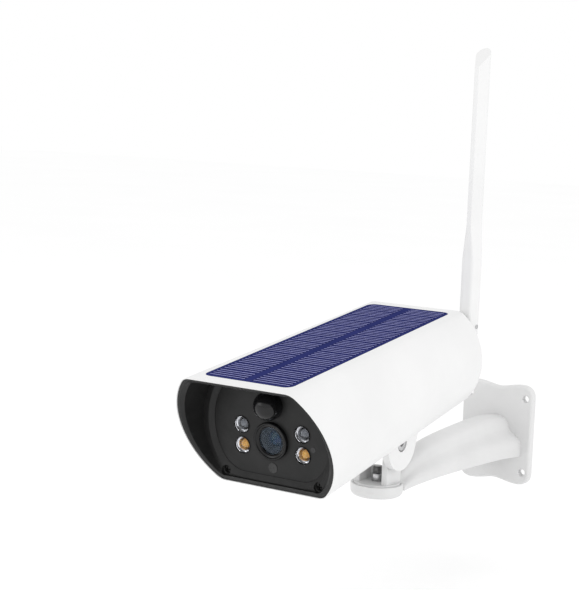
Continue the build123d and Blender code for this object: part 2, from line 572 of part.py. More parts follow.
cap = tube(CAP_Y, CAP_Y + CAP_T, WALL + CLEAR)
cap_screws = []
for x, z in CAP_SCREWS:
    cap -= rod(1.5, 9, x, CAP_Y - 3, z)
    cap -= rod(2.9, 5, x, CAP_Y + 1.4, z)
    screw = rod(1.25, 10.4, x, CAP_Y + 1.4 - 10.4, z) + rod(2.6, 1.8, x, CAP_Y + 1.4, z)
    cap_screws.append(screw.solids()[0])
cap -= rod(STEM_R + FIT, 9, ANT_X, CAP_Y - 3, ANT_Z)
cap -= rod(POWER_R + FIT, 9, POWER_X, CAP_Y - 3, POWER_Z)
cap -= rod(RESET_R + FIT, 9, RESET_X, CAP_Y - 3, RESET_Z)
for ring_n, ring_r in ((1, 0.0), (6, 3.0), (12, 6.0)):
    for i in range(ring_n):
        a = 2 * math.pi * i / ring_n
        cap -= rod(0.7, 9, SPEAKER_X + ring_r * math.cos(a), CAP_Y - 3, SPEAKER_Z + ring_r * math.sin(a))
cap -= rod(4.0, 9, PORT_X, CAP_Y - 3, PORT_Z)
switch_y = CAP_Y - 7.0
for z in (RESET_Z - 4, POWER_Z + 4):
    cap += rod(2.0, CAP_Y - switch_y - 1.2, POWER_X + 7.0, switch_y + 1.2, z)
save("back_plate", cap, HEAD)
save("back_plate_screws", group(cap_screws, HEAD))
save("speaker", rod(SPEAKER_R, 4.0, SPEAKER_X, CAP_Y - 4.0, SPEAKER_Z)
     + rod(SPEAKER_R * 0.7, 3.0, SPEAKER_X, CAP_Y - 7.0, SPEAKER_Z), HEAD)

# buttons, their switches and the small board behind them
for name, x, z, r in (("power_button", POWER_X, POWER_Z, POWER_R), ("reset_button", RESET_X, RESET_Z, RESET_R)):
    out = 1.4 if name == "power_button" else -0.6
    button = rod(r, CAP_T + out + 0.3, x, CAP_Y - 0.3, z)
    button += rod(r + 1.0, 1.0, x, CAP_Y - 1.1, z) + rod(1.4, 2.0, x, CAP_Y - 2.6, z)
    save(name, button.solids()[0], HEAD)
switches = [slab(x - 3, x + 3, switch_y + 1.2, switch_y + 2.9, z - 3, z + 3)
            for x, z in ((POWER_X, POWER_Z), (RESET_X, RESET_Z))]
save("tact_switches", group(switches, HEAD))
button_board = slab(POWER_X - 7, POWER_X + 9, switch_y, switch_y + 1.2, RESET_Z - 6, POWER_Z + 6)
save("button_board", button_board, HEAD)

# charging inlet under a rubber flap hinged on its left
inlet = rod(4.0, 8.0, PORT_X, CAP_Y - 6.0, PORT_Z) + rod(5.6, 2.0, PORT_X, CAP_Y - 2.0, PORT_Z)
inlet -= slab(PORT_X - 3.6, PORT_X + 3.6, CAP_Y - 4.5, CAP_Y + 5, PORT_Z - 1.3, PORT_Z + 1.3)
inlet += slab(PORT_X - 2.8, PORT_X + 2.8, CAP_Y - 5.0, CAP_Y + 1.0, PORT_Z - 0.4, PORT_Z + 0.4)
save("charge_inlet", inlet.solids()[0], HEAD)
FLAP_X = PORT_X - PORT_R - 1.6
flap_y = CAP_Y + CAP_T + 0.3
flap = rod(PORT_R, 2.2, PORT_X, flap_y, PORT_Z)
flap += slab(FLAP_X, PORT_X, flap_y, flap_y + 2.2, PORT_Z - 2.6, PORT_Z + 2.6)
flap += rod(1.3, 5.2, FLAP_X, flap_y + 1.1, PORT_Z - 2.6, "z")
tab_x, tab_z = PORT_X + 6.6, PORT_Z - 5.4
flap += rod(2.4, REAR_Y + 3.6 - flap_y - 1.6, tab_x, flap_y + 2.6, tab_z)
flap += rod(2.4, 3.6, PORT_X + 3.2, flap_y + 1.0, PORT_Z - 2.6)
bridge = Pos((tab_x + PORT_X + 3.2) / 2, flap_y + 3.6, (tab_z + PORT_Z - 2.6) / 2)
slope = math.degrees(math.atan2(tab_z - PORT_Z + 2.6, tab_x - PORT_X - 3.2))
flap += bridge * Rot(0, -slope, 0) * Box(math.hypot(3.4, 2.8), 2.0, 4.4)
flap -= rod(0.8 + FIT, 30, FLAP_X, flap_y + 1.1, PORT_Z - 15, "z")
save("port_flap", flap.solids()[0], HEAD)
lugs = None
for z0 in (PORT_Z - 2.9 - 1.8, PORT_Z + 2.9):
    lug = slab(FLAP_X - 1.3, FLAP_X + 1.3, CAP_Y + CAP_T, flap_y + 1.1, z0, z0 + 1.8)
    lug += rod(1.3, 1.8, FLAP_X, flap_y + 1.1, z0, "z")
    lugs = lug if lugs is None else lugs + lug
lugs -= rod(0.8, 30, FLAP_X, flap_y + 1.1, PORT_Z - 15, "z")
save("flap_lugs", group(lugs.solids(), HEAD))
save("flap_pin", rod(0.8, 9.4, FLAP_X, flap_y + 1.1, PORT_Z - 4.7, "z"), HEAD)

# ---------------------------------------------------------------- tilt yoke under the head
def tilt_yoke():
    low = belly(PIVOT_Y) - 4.8
    plate = slab(-CHEEK_X - WASHER_T - EAR_T, CHEEK_X + WASHER_T + EAR_T, PIVOT_Y - 20, PIVOT_Y + 24, low, 0)
    plate = fillet(plate.edges().filter_by(Axis.Z), 3.0)
    body = plate
    for side in (-1, 1):
        x0 = CHEEK_X + WASHER_T if side > 0 else -CHEEK_X - WASHER_T - EAR_T
        with BuildSketch(Plane(origin=(x0, PIVOT_Y, 0), x_dir=(0, 1, 0), z_dir=(1, 0, 0))) as sk:
            with Locations((0, PIVOT_Z)):
                Circle(EAR_R)
            with BuildLine():
                Polyline((-EAR_R * 0.98, PIVOT_Z + 3), (EAR_R * 0.9, PIVOT_Z - 7.6), (24, low), (24, 0),
                         (-20, 0), (-20, low), (-EAR_R * 0.98, PIVOT_Z + 3))
            make_face()
        body += extrude(sk.sketch, amount=EAR_T)
    body -= tube(60, REAR_Y)
    body -= rod(SCREW_R, 60, -30, PIVOT_Y, PIVOT_Z, "x")
    body -= rod(5.5, 10, CHEEK_X + WASHER_T + EAR_T - 3.0, PIVOT_Y, PIVOT_Z, "x")
    body -= Pos(-CHEEK_X - WASHER_T - EAR_T - 1, PIVOT_Y, PIVOT_Z) * Rot(0, 90, 0) * extrude(
        RegularPolygon(4.75, 6), amount=4.2)
    for side in (-1, 1):
        for y in (PIVOT_Y - 14, PIVOT_Y + 14):
            body -= rod(1.5, 20, side * 8.5, y, low - 3, "z")
    return body


save("tilt_yoke", tilt_yoke(), HEAD)
low = belly(PIVOT_Y) - 4.8
screws = []
for side in (-1, 1):
    for y in (PIVOT_Y - 14, PIVOT_Y + 14):
        screw = rod(1.5, 11.0, side * 8.5, y, low, "z") + rod(2.7, 1.6, side * 8.5, y, low - 1.6, "z")
        screws.append(screw.solids()[0])
save("yoke_screws", group(screws, HEAD))

ear_out = CHEEK_X + WASHER_T + EAR_T
tilt_screw = rod(SCREW_R, 2 * ear_out - 3.6, -ear_out + 0.6, PIVOT_Y, PIVOT_Z, "x")
tilt_screw += rod(4.6, 2.6, ear_out - 3.0, PIVOT_Y, PIVOT_Z, "x")
tilt_screw -= Pos(ear_out - 1.8, PIVOT_Y, PIVOT_Z) * Rot(0, 90, 0) * extrude(RegularPolygon(2.3, 6), amount=3)
save("tilt_screw", tilt_screw.solids()[0], HEAD)
tilt_nut = Pos(-ear_out + 0.2, PIVOT_Y, PIVOT_Z) * Rot(0, 90, 0) * extrude(RegularPolygon(4.65, 6), amount=3.0)
tilt_nut -= rod(SCREW_R, 60, -30, PIVOT_Y, PIVOT_Z, "x")
save("tilt_nut", tilt_nut, HEAD)
washers = [rod(6.0, WASHER_T, x, PIVOT_Y, PIVOT_Z, "x") - rod(SCREW_R, 60, -30, PIVOT_Y, PIVOT_Z, "x")
           for x in (CHEEK_X, -CHEEK_X - WASHER_T)]
save("tilt_washers", group(washers, HEAD))

# ---------------------------------------------------------------- antenna
STEM_IN, CLIP_T = 5.0, 1.3              # stem behind the back plate, clip in its groove
clip_y = CAP_Y - STEM_IN + 2.2
stem = rod(STEM_R, CAP_T + 1.0 + STEM_IN, ANT_X, CAP_Y - STEM_IN, ANT_Z)
stem += rod(5.0, 1.6, ANT_X, CAP_Y + CAP_T + 0.1, ANT_Z)
stem += rod(NECK_R, HINGE_Y - CAP_Y - CAP_T - 1.5, ANT_X, CAP_Y + CAP_T + 1.5, ANT_Z)
half_w, hole_r = KNUCKLE_W / 2, PIN_R + FIT
side_r = math.sqrt(KNUCKLE_R ** 2 - half_w ** 2)
with BuildSketch(Plane.XY) as sk:
    with BuildLine():
        Line((-half_w, hole_r), (-half_w, side_r))
        ThreePointArc((-half_w, side_r), (0, KNUCKLE_R), (half_w, side_r))
        Polyline((half_w, side_r), (half_w, hole_r), (-half_w, hole_r))
    make_face()
stem -= rod(hole_r, 40, ANT_X - 20, HINGE_Y, ANT_Z, "x")
stem += Pos(ANT_X, HINGE_Y, ANT_Z) * revolve(sk.sketch, Axis.X)
stem -= rod(STEM_R + 1, CLIP_T, ANT_X, clip_y, ANT_Z) - rod(STEM_R - 0.8, CLIP_T, ANT_X, clip_y, ANT_Z)
save("antenna_stem", stem.solids()[0], HEAD)
clip = rod(STEM_R + 1.4, CLIP_T, ANT_X, clip_y, ANT_Z) - rod(STEM_R - 0.8, CLIP_T, ANT_X, clip_y, ANT_Z)
clip -= slab(ANT_X - 2.2, ANT_X + 2.2, clip_y - 3, clip_y + 6, ANT_Z - 12, ANT_Z)
save("antenna_clip", clip.solids()[0], HEAD)

BLADE = HEAD * Pos(ANT_X, HINGE_Y, ANT_Z) * Rot(-NOSE_DOWN, 0, 0)


def blade_section(z, flat, front, wide, back, corner):
    """Flat front edge, straight flanks to the widest line, round back."""
    with BuildSketch(Plane.XY.offset(z)) as sk:
        with BuildLine():
            Polyline((-wide, 0.8), (-flat, -front), (flat, -front), (wide, 0.8))
            ThreePointArc((wide, 0.8), (0, back), (-wide, 0.8))
        make_face()
        fillet(sk.vertices().sort_by(Axis.Y)[2:], SIDE_ROUND)
        fillet(sk.vertices().sort_by(Axis.Y)[:2], corner)
    return sk.sketch.faces()[0]


SPIGOT_R, SPIGOT_LEN, WIRE_R = 2.8, 12.0, 1.6
half_slot, half_wide = KNUCKLE_W / 2 + 0.15, FOOT_FORM[2]


def antenna_fork():
    """Two ears round the knuckle, widening into the foot, with a spigot for the sleeve."""
    reach = FOOT_FORM[1] + 1
    with BuildSketch(Plane(origin=(-10, 0, 0), x_dir=(0, 1, 0), z_dir=(1, 0, 0))) as sk:
        with BuildLine():
            Polyline((-EAR_END_R, 0), (-reach, FORK_LEN * 0.65), (-reach, FORK_LEN), (reach, FORK_LEN),
                     (reach, FORK_LEN * 0.65), (EAR_END_R, 0), (-EAR_END_R, 0))
        make_face()
        Circle(EAR_END_R)
    column = extrude(blade_section(-EAR_END_R - 1, *FOOT_FORM), amount=FORK_LEN + EAR_END_R + 1)
    fork = column & extrude(sk.sketch, amount=20)
    fork -= slab(-half_slot, half_slot, -10, 10, -10, 0.01)
    fork -= Sphere(KNUCKLE_R + 0.4)
    fork -= rod(NECK_R + 0.3, 10, 0, -10, 0)
    fork -= rod(PIN_R, 40, -20, 0, 0, "x")
    return fork + rod(SPIGOT_R, SPIGOT_LEN, 0, 0, FORK_LEN, "z")


def antenna_blade():
    """Sleeve that narrows from the foot to a keeled blade with a sloping tip."""
    foot = extrude(blade_section(FORK_LEN, *FOOT_FORM), amount=FOOT_LEN - FORK_LEN)
    waist = loft([blade_section(FOOT_LEN, *FOOT_FORM), blade_section(WAIST_LEN, *BLADE_FORM)])
    blade = foot + waist + extrude(blade_section(WAIST_LEN, *BLADE_FORM), amount=ANT_LEN - WAIST_LEN)
    front, back = BLADE_FORM[1], BLADE_FORM[3]
    tip_low = ANT_LEN - (front + back) * math.tan(math.radians(TIP_CUT))
    blade -= Pos(0, -front, tip_low) * Rot(TIP_CUT, 0, 0) * Pos(0, 0, 20) * Box(40, 60, 40)
    blade -= rod(SPIGOT_R, SPIGOT_LEN, 0, 0, FORK_LEN, "z")
    return blade - rod(WIRE_R, 150 - FORK_LEN, 0, 0, FORK_LEN, "z")


save("antenna_fork", antenna_fork(), BLADE)
save("antenna_blade", antenna_blade(), BLADE)
save("antenna_pin", rod(PIN_R, 2 * half_wide - 0.6, 0.3 - half_wide, 0, 0, "x"), BLADE)
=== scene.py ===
import json
import math

import bmesh
import bpy
from mathutils import Matrix, Vector

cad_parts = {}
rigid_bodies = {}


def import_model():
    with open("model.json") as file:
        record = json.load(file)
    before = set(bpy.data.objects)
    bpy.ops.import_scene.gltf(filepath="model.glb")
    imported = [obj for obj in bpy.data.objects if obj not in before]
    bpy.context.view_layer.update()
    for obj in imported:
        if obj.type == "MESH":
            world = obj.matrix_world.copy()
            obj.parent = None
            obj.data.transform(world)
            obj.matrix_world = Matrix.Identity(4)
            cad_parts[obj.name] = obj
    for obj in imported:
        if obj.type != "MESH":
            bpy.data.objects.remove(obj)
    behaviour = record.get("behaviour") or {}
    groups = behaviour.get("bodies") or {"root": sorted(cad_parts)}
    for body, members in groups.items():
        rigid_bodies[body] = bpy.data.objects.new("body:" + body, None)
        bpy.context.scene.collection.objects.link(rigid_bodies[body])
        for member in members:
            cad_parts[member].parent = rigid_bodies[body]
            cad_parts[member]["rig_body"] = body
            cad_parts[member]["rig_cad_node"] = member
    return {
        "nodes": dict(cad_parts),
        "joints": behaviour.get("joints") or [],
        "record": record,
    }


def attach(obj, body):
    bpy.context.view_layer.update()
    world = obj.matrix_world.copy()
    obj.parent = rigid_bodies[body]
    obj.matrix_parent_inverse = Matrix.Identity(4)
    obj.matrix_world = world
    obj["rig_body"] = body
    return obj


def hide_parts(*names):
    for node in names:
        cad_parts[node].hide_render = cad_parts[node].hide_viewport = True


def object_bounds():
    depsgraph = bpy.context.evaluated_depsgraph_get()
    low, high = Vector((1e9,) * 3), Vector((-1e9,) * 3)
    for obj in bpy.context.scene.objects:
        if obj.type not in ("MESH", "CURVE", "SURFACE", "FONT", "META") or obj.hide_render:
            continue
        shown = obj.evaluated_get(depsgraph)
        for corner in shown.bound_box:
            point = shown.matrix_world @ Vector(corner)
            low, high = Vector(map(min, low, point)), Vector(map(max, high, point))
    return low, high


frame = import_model()
cad_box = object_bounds()
MM = 0.001

# ---------------------------------------------------------------- the head's own frame
# Origin at the lens, front to -Y. At rest the head hangs nose down on the tilt axis.
NOSE_DOWN = math.radians(8.0)
tilt = next(j for j in frame["joints"] if j["name"] == "tilt")
PIVOT = Vector((0.0, 119.0, -35.2)) * MM
HEAD = (Matrix.Translation(Vector(tilt["pos_m"])) @ Matrix.Rotation(NOSE_DOWN, 4, "X")
        @ Matrix.Translation(-PIVOT))


# ---------------------------------------------------------------- material helpers
def shader(name, **sockets):
    """New node material with one principled shader; keywords are its sockets, with _ for a space."""
    mat = bpy.data.materials.new(name)
    mat.use_nodes = True
    bsdf = mat.node_tree.nodes["Principled BSDF"]
    for key, value in sockets.items():
        bsdf.inputs[key.replace("_", " ")].default_value = value
    return mat, bsdf


def add(mat, kind, **sockets):
    node = mat.node_tree.nodes.new(kind)
    for key, value in sockets.items():
        node.inputs[key.replace("_", " ")].default_value = value
    return node


def link(mat, a, b):
    mat.node_tree.links.new(a, b)


def noise(mat, scale, detail=3.0, stretch=(1, 1, 1)):
    """Noise over the object's own coordinates; scale is in features per metre."""
    where = add(mat, "ShaderNodeTexCoord")
    place = add(mat, "ShaderNodeMapping", Scale=stretch)
    grain = add(mat, "ShaderNodeTexNoise", Scale=scale, Detail=detail)
    link(mat, where.outputs["Object"], place.inputs["Vector"])
    link(mat, place.outputs["Vector"], grain.inputs["Vector"])
    return grain.outputs["Fac"]


def spread(mat, value, low, high, start=0.3, end=0.7):
    """Remap a 0..1 pattern to low..high."""
    node = add(mat, "ShaderNodeMapRange")
    for i, v in ((1, start), (2, end), (3, low), (4, high)):
        node.inputs[i].default_value = v
    link(mat, value, node.inputs["Value"])
    return node.outputs["Result"]


def two_tone(mat, value, dark, light, start=0.3, end=0.7):
    ramp = add(mat, "ShaderNodeValToRGB")
    ramp.color_ramp.elements[0].position, ramp.color_ramp.elements[1].position = start, end
    ramp.color_ramp.elements[0].color, ramp.color_ramp.elements[1].color = (*dark, 1), (*light, 1)
    link(mat, value, ramp.inputs["Fac"])
    return ramp.outputs["Color"]


def bump(mat, bsdf, value, depth_mm, strength=1.0):
    node = add(mat, "ShaderNodeBump", Strength=strength, Distance=depth_mm * MM)
    link(mat, value, node.inputs["Height"])
    link(mat, node.outputs["Normal"], bsdf.inputs["Normal"])
    return node


def moulded(name, dark, light, rough=(0.32, 0.42), grain=2600, depth=0.012, blotch=60, stretch=(1, 1, 1),
            **sockets):
    """Plastic, rubber or metal: soft colour drift, uneven gloss and a fine surface grain."""
    mat, bsdf = shader(name, **sockets)
    link(mat, two_tone(mat, noise(mat, blotch, 4), dark, light), bsdf.inputs["Base Color"])
    link(mat, spread(mat, noise(mat, blotch * 3.1, 3), *rough), bsdf.inputs["Roughness"])
    bump(mat, bsdf, noise(mat, grain, 2, stretch), depth)
    return mat


def grey(v, blue=0.0):
    return (v, v, v + blue)


LOOKS = {
    "white_shell": moulded("white_shell", grey(0.73), grey(0.76), (0.34, 0.42), 2400, 0.006, 25,
                           Coat_Weight=0.10, Coat_Roughness=0.25),
    "white_cast": moulded("white_cast", grey(0.65), grey(0.69), (0.38, 0.48), 1700, 0.010, 40),
    "black_satin": moulded("black_satin", grey(0.009), grey(0.014), (0.40, 0.50), 3200, 0.012, 90,
                           Specular_IOR_Level=0.30),
    "black_gloss": moulded("black_gloss", grey(0.004), grey(0.007, 0.001), (0.14, 0.20), 900, 0.002, 120,
                           Specular_IOR_Level=0.30),
    "lens_metal": moulded("lens_metal", grey(0.012), grey(0.03), (0.28, 0.4), 4000, 0.006, 200, Metallic=0.7),
    "cup_chrome": moulded("cup_chrome", grey(0.74), grey(0.86), (0.08, 0.16), 700, 0.006, 300, Metallic=1.0),
    "ir_dark": moulded("ir_dark", (0.13, 0.14, 0.15), (0.22, 0.23, 0.25), (0.06, 0.12), 1500, 0.004, 400),
    "phosphor": moulded("phosphor", (0.62, 0.27, 0.03), (0.86, 0.47, 0.08), (0.15, 0.25), 3000, 0.01, 500),
    "pir_gloss": moulded("pir_gloss", grey(0.006), grey(0.009, 0.001), (0.12, 0.17), 500, 0.003, 100,
                         Specular_IOR_Level=0.35),
    "smoke": moulded("smoke", grey(0.012), grey(0.020, 0.002), (0.12, 0.18), 900, 0.003, 300),
    "steel": moulded("steel", grey(0.42), grey(0.58, 0.01), (0.24, 0.38), 5200, 0.006, 300, Metallic=1.0),
    "can": moulded("can", grey(0.52), grey(0.62), (0.28, 0.4), 3000, 0.004, 150, Metallic=1.0),
    "pcb_green": moulded("pcb_green", (0.01, 0.10, 0.04), (0.02, 0.16, 0.07), (0.25, 0.4), 900, 0.02, 220),
    "pcb_black": moulded("pcb_black", grey(0.008), grey(0.02), (0.3, 0.45), 900, 0.02, 220),
    "silicon": moulded("silicon", (0.03, 0.04, 0.10), (0.06, 0.05, 0.16), (0.06, 0.12), 6000, 0.002, 900),
    "cell_wrap": moulded("cell_wrap", (0.03, 0.20, 0.08), (0.05, 0.27, 0.12), (0.22, 0.3), 400, 0.02, 60),
    "nickel": moulded("nickel", (0.50, 0.47, 0.42), (0.62, 0.59, 0.54), (0.25, 0.35), 3000, 0.005, 200,
                      Metallic=1.0),
    "rubber_black": moulded("rubber_black", grey(0.010), grey(0.018), (0.62, 0.75), 2600, 0.02, 130),
    "rubber_white": moulded("rubber_white", grey(0.70), grey(0.76), (0.55, 0.66), 2200, 0.015, 90),
    "grey_plastic": moulded("grey_plastic", grey(0.10), grey(0.14), (0.42, 0.52), 2500, 0.012, 140),
    "speaker_cone": moulded("speaker_cone", grey(0.012), grey(0.025), (0.6, 0.7), 1200, 0.05, 150),
    "cell_blue": moulded("cell_blue", (0.012, 0.014, 0.060), (0.030, 0.034, 0.125), (0.35, 0.45), 900,
                         0.004, 420,
                         Specular_IOR_Level=0.0),
    "sun_back": moulded("sun_back", (0.008, 0.010, 0.055), (0.014, 0.016, 0.085), (0.3, 0.4), 1500,
                        0.004, 90),
}


def glassy(name, tint, rough, ior, ripple, **sockets):
    """Clear moulded or polished part; ripple is the depth of its surface waves in mm."""
    mat, bsdf = shader(name, Transmission_Weight=1.0, IOR=ior, **sockets)
    link(mat, two_tone(mat, noise(mat, 150), tuple(0.94 * c for c in tint), tint), bsdf.inputs["Base Color"])
    link(mat, spread(mat, noise(mat, 400), rough, rough * 2 + 0.01), bsdf.inputs["Roughness"])
    bump(mat, bsdf, noise(mat, 260), ripple, 0.6)
    return mat


LOOKS["clear"] = glassy("clear", (0.96, 0.97, 1.0), 0.01, 1.22, 0.004)
LOOKS["lens_glass"] = glassy("lens_glass", (0.80, 0.88, 1.0), 0.0, 1.32, 0.0002,
                             Specular_Tint=(0.68, 0.84, 1.0, 1.0))
# inner lens element: its teal and blue-violet base colour is partly coating tint and partly a painted
# reflection, standing in for the coloured reflections of its coatings
LOOKS["lens_coated"] = moulded("lens_coated", (0.004, 0.030, 0.030), (0.012, 0.016, 0.110),
                               (0.05, 0.09), 500, 0.001, 130, Specular_IOR_Level=0.25)
LOOKS["sun_clear"] = moulded("sun_clear", (0.022, 0.028, 0.115), (0.030, 0.036, 0.145),
                             (0.35, 0.45), 900, 0.004, 60, Specular_IOR_Level=0.0)
LOOKS["cell_finger"] = moulded("cell_finger", (0.26, 0.27, 0.56), (0.40, 0.41, 0.72), (0.4, 0.5), 3000,
                               0.004, 400, Specular_IOR_Level=0.0)
LOOKS["thread"] = moulded("thread", grey(0.16), grey(0.26), (0.3, 0.42), 4200, 0.008, 260, Metallic=0.9)
LOOKS["dusk_grey"] = moulded("dusk_grey", grey(0.030), grey(0.045), (0.25, 0.35), 2500, 0.004, 200,
                             Specular_IOR_Level=0.3)
LOOKS["screw_black"] = moulded("screw_black", grey(0.008), grey(0.018), (0.3, 0.4), 4000, 0.006, 300,
                               Metallic=0.6)

# every CAD node takes the look of its material slot
slot_of = {s["node"]: s["material_slot"] for s in frame["record"]["subparts"]}
body_of = {o["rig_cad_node"]: o["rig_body"] for o in frame["nodes"].values()}
for node, obj in frame["nodes"].items():
    obj.data.materials.clear()
    obj.data.materials.append(LOOKS["dusk_grey" if node == "dusk_window" else slot_of[node]])


# ---------------------------------------------------------------- mesh helpers
def piece(name, bm, node, looks=None, place=HEAD, sharp=32.0, bevel=0.0):
    """Turn a bmesh drawn in millimetres into a piece that stands for a CAD node."""
    bm.transform(place @ Matrix.Scale(MM, 4))
    bmesh.ops.recalc_face_normals(bm, faces=bm.faces)
    mesh = bpy.data.meshes.new(name)
    bm.to_mesh(mesh)
    bm.free()
    obj = bpy.data.objects.new(name, mesh)
    bpy.context.scene.collection.objects.link(obj)
    for look in looks or [LOOKS[slot_of[node]]]:
        mesh.materials.append(look)
    mesh.shade_smooth()
    mesh.set_sharp_from_angle(angle=math.radians(sharp))
    if bevel:
        mod = obj.modifiers.new("soft_edges", "BEVEL")
        mod.width, mod.segments, mod.limit_method = bevel * MM, 2, "ANGLE"
        mod.harden_normals = True
    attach(obj, body_of[node])
    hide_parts(node)
    return obj


def lathe(bm, profile, x=0.0, z=0.0, steps=96, closed=True, mat=0):
    """Turn a profile of (radius, y) points about the line through (x, z) along Y."""
    rings = []
    for r, y in profile:
        if r < 1e-6:
            rings.append([bm.verts.new((x, y, z))])
            continue
        rings.append([bm.verts.new((x + r * math.cos(t), y, z + r * math.sin(t)))
                      for t in (2 * math.pi * i / steps for i in range(steps))])
    pairs = list(zip(rings, rings[1:]))
    if closed and len(rings[0]) > 1 and len(rings[-1]) > 1:
        pairs.append((rings[-1], rings[0]))
    for one, two in pairs:
        for i in range(steps):
            j = (i + 1) % steps
            corners = [one[i % len(one)], one[j % len(one)], two[j % len(two)], two[i % len(two)]]
            unique = list(dict.fromkeys(corners))
            if len(unique) > 2:
                bm.faces.new(unique).material_index = mat


def arc(r0, y0, r1, y1, bulge, n=10):
    """Points from (r0, y0) to (r1, y1) along a curve pushed sideways by bulge."""
    dr, dy = r1 - r0, y1 - y0
    length = math.hypot(dr, dy)
    return [(r0 + dr * t + bulge * 4 * t * (1 - t) * dy / length,
             y0 + dy * t - bulge * 4 * t * (1 - t) * dr / length) for t in (i / n for i in range(n + 1))]


def box(bm, x0, x1, y0, y1, z0, z1, mat=0):
    made = bmesh.ops.create_cube(bm, size=1.0)
    for v in made["verts"]:
        v.co = Vector(((x0 + x1) / 2 + v.co.x * (x1 - x0), (y0 + y1) / 2 + v.co.y * (y1 - y0),
                       (z0 + z1) / 2 + v.co.z * (z1 - z0)))
    for f in {f for v in made["verts"] for f in v.link_faces}:
        f.material_index = mat


# ---------------------------------------------------------------- lens
def make_lens():
    bm = bmesh.new()
    lathe(bm, [(11.4, 0.0), (11.4, -2.0), (11.2, -2.4), (10.9, -2.6), (10.3, -2.6), (10.1, -2.45),
               (9.9, -2.0), (9.7, -1.9), (9.1, -1.55), (8.9, -1.5), (8.5, -1.0), (8.25, -1.0), (8.2, -0.3),
               (8.4, 0.0), (8.5, 3.2), (11.0, 0.4)])
    piece("lens_ring_turned", bm, "lens_ring")
    bm = bmesh.new()
    lathe(bm, arc(0.0, -2.25, 8.15, -0.75, 0.35) + [(8.15, -0.3), (0.0, -0.3)], closed=False)
    piece("lens_front_glass", bm, "lens_window", [LOOKS["lens_glass"]])
    bm = bmesh.new()
    baffles = [(7.0, 13.0), (7.0, -0.1), (6.6, -0.1)]
    for k in range(6):
        r, y = 6.4 - 0.36 * k, 0.2 + 0.62 * k
        baffles += [(r, y), (r - 0.06, y + 0.5), (r - 0.30, y + 0.56)]
    baffles += [(4.2, 4.2), (4.2, 13.0)]
    lathe(bm, baffles)
    piece("lens_barrel_turned", bm, "lens_barrel", sharp=20)
    bm = bmesh.new()
    lathe(bm, arc(0.0, 1.9, 4.35, 3.9, 0.45) + [(4.35, 7.9), (0.0, 7.9)], closed=False)
    piece("lens_inner_glass", bm, "lens_element", [LOOKS["lens_coated"]])


# ---------------------------------------------------------------- lamps
LAMP_X, LAMP_HIGH, LAMP_LOW = 21.1, 6.7, -5.85
LAMPS = [(sx * LAMP_X, z) for sx in (-1, 1) for z in (LAMP_HIGH, LAMP_LOW)]
DIODE = {"r": 2.5, "y": 3.6, "steps": 14}


def make_lamps():
    bm = bmesh.new()
    cup = ([(5.5, 8.0), (5.5, -0.35), (5.4, -0.5), (5.1, -0.5), (5.0, -0.3), (4.95, 0.5)]
           + arc(4.7, 0.6, 2.7, 4.9, -0.55) + [(2.6, 5.0), (2.6, 8.0)])
    for x, z in LAMPS:
        lathe(bm, cup, x, z, steps=72)
    for f in bm.faces:
        y = f.calc_center_median().y
        x, z = min(LAMPS, key=lambda c: (f.calc_center_median() - Vector((c[0], y, c[1]))).length)
        r = (f.calc_center_median() - Vector((x, y, z))).length
        f.material_index = 0 if r < 4.9 and y > 0.4 else 1
    piece("lamp_reflectors", bm, "lamp_cups", [LOOKS["cup_chrome"], LOOKS["black_gloss"]])
    bm = bmesh.new()
    for x, z in LAMPS:
        lathe(bm, arc(0.0, -1.1, 4.9, 0.1, 0.25) + [(4.9, 0.55), (0.0, 0.35)], x, z, 72, closed=False)
    piece("lamp_windows_domed", bm, "lamp_windows")
    r, y = DIODE["r"], DIODE["y"]
    turns = [math.pi / 2 * i / DIODE["steps"] for i in range(DIODE["steps"] + 1)]
    dome = [(r * math.sin(t), y - r * math.cos(t)) for t in turns]
    for node, z in (("ir_diodes", LAMP_HIGH), ("white_diodes", LAMP_LOW)):
        bm = bmesh.new()
        for x in (-LAMP_X, LAMP_X):
            lathe(bm, dome + [(r, 4.9), (2.55, 8.0), (0.0, 8.0)], x, z, 64, closed=False)
        piece(node + "_domed", bm, node)


PIR = {"z": 21.7, "r": 8.6, "neck": 2.5, "skin": 0.9, "back": 3.1}


def make_motion_lens():
    """Half ball on a short neck, hollow inside, with its flange behind the panel."""
    r, neck, inner = PIR["r"], PIR["neck"], PIR["r"] - PIR["skin"]
    turns = [math.pi / 2 * i / 28 for i in range(29)]
    outside = [(r * math.sin(t), -neck - r * math.cos(t)) for t in turns]
    inside = [(inner * math.sin(t), -neck - inner * math.cos(t)) for t in reversed(turns)]
    lip = PIR["back"] - PIR["skin"]
    flange = [(r, lip), (r + 1, lip), (r + 1, PIR["back"]), (inner, PIR["back"])]
    bm = bmesh.new()
    lathe(bm, outside + flange + inside, 0.0, PIR["z"], 128, closed=False)
    piece("motion_lens_dome", bm, "motion_lens")


# ---------------------------------------------------------------- threads and screw heads
ARM_REACH = -tilt["pos_m"][1] / MM
STUD = {"low": -15.2, "high": 3.2, "r": 3.0, "pitch": 1.0, "depth": 0.42}
COLLAR = {"low": -6.65, "high": -1.75, "r": 3.7, "chamfer": 0.3}


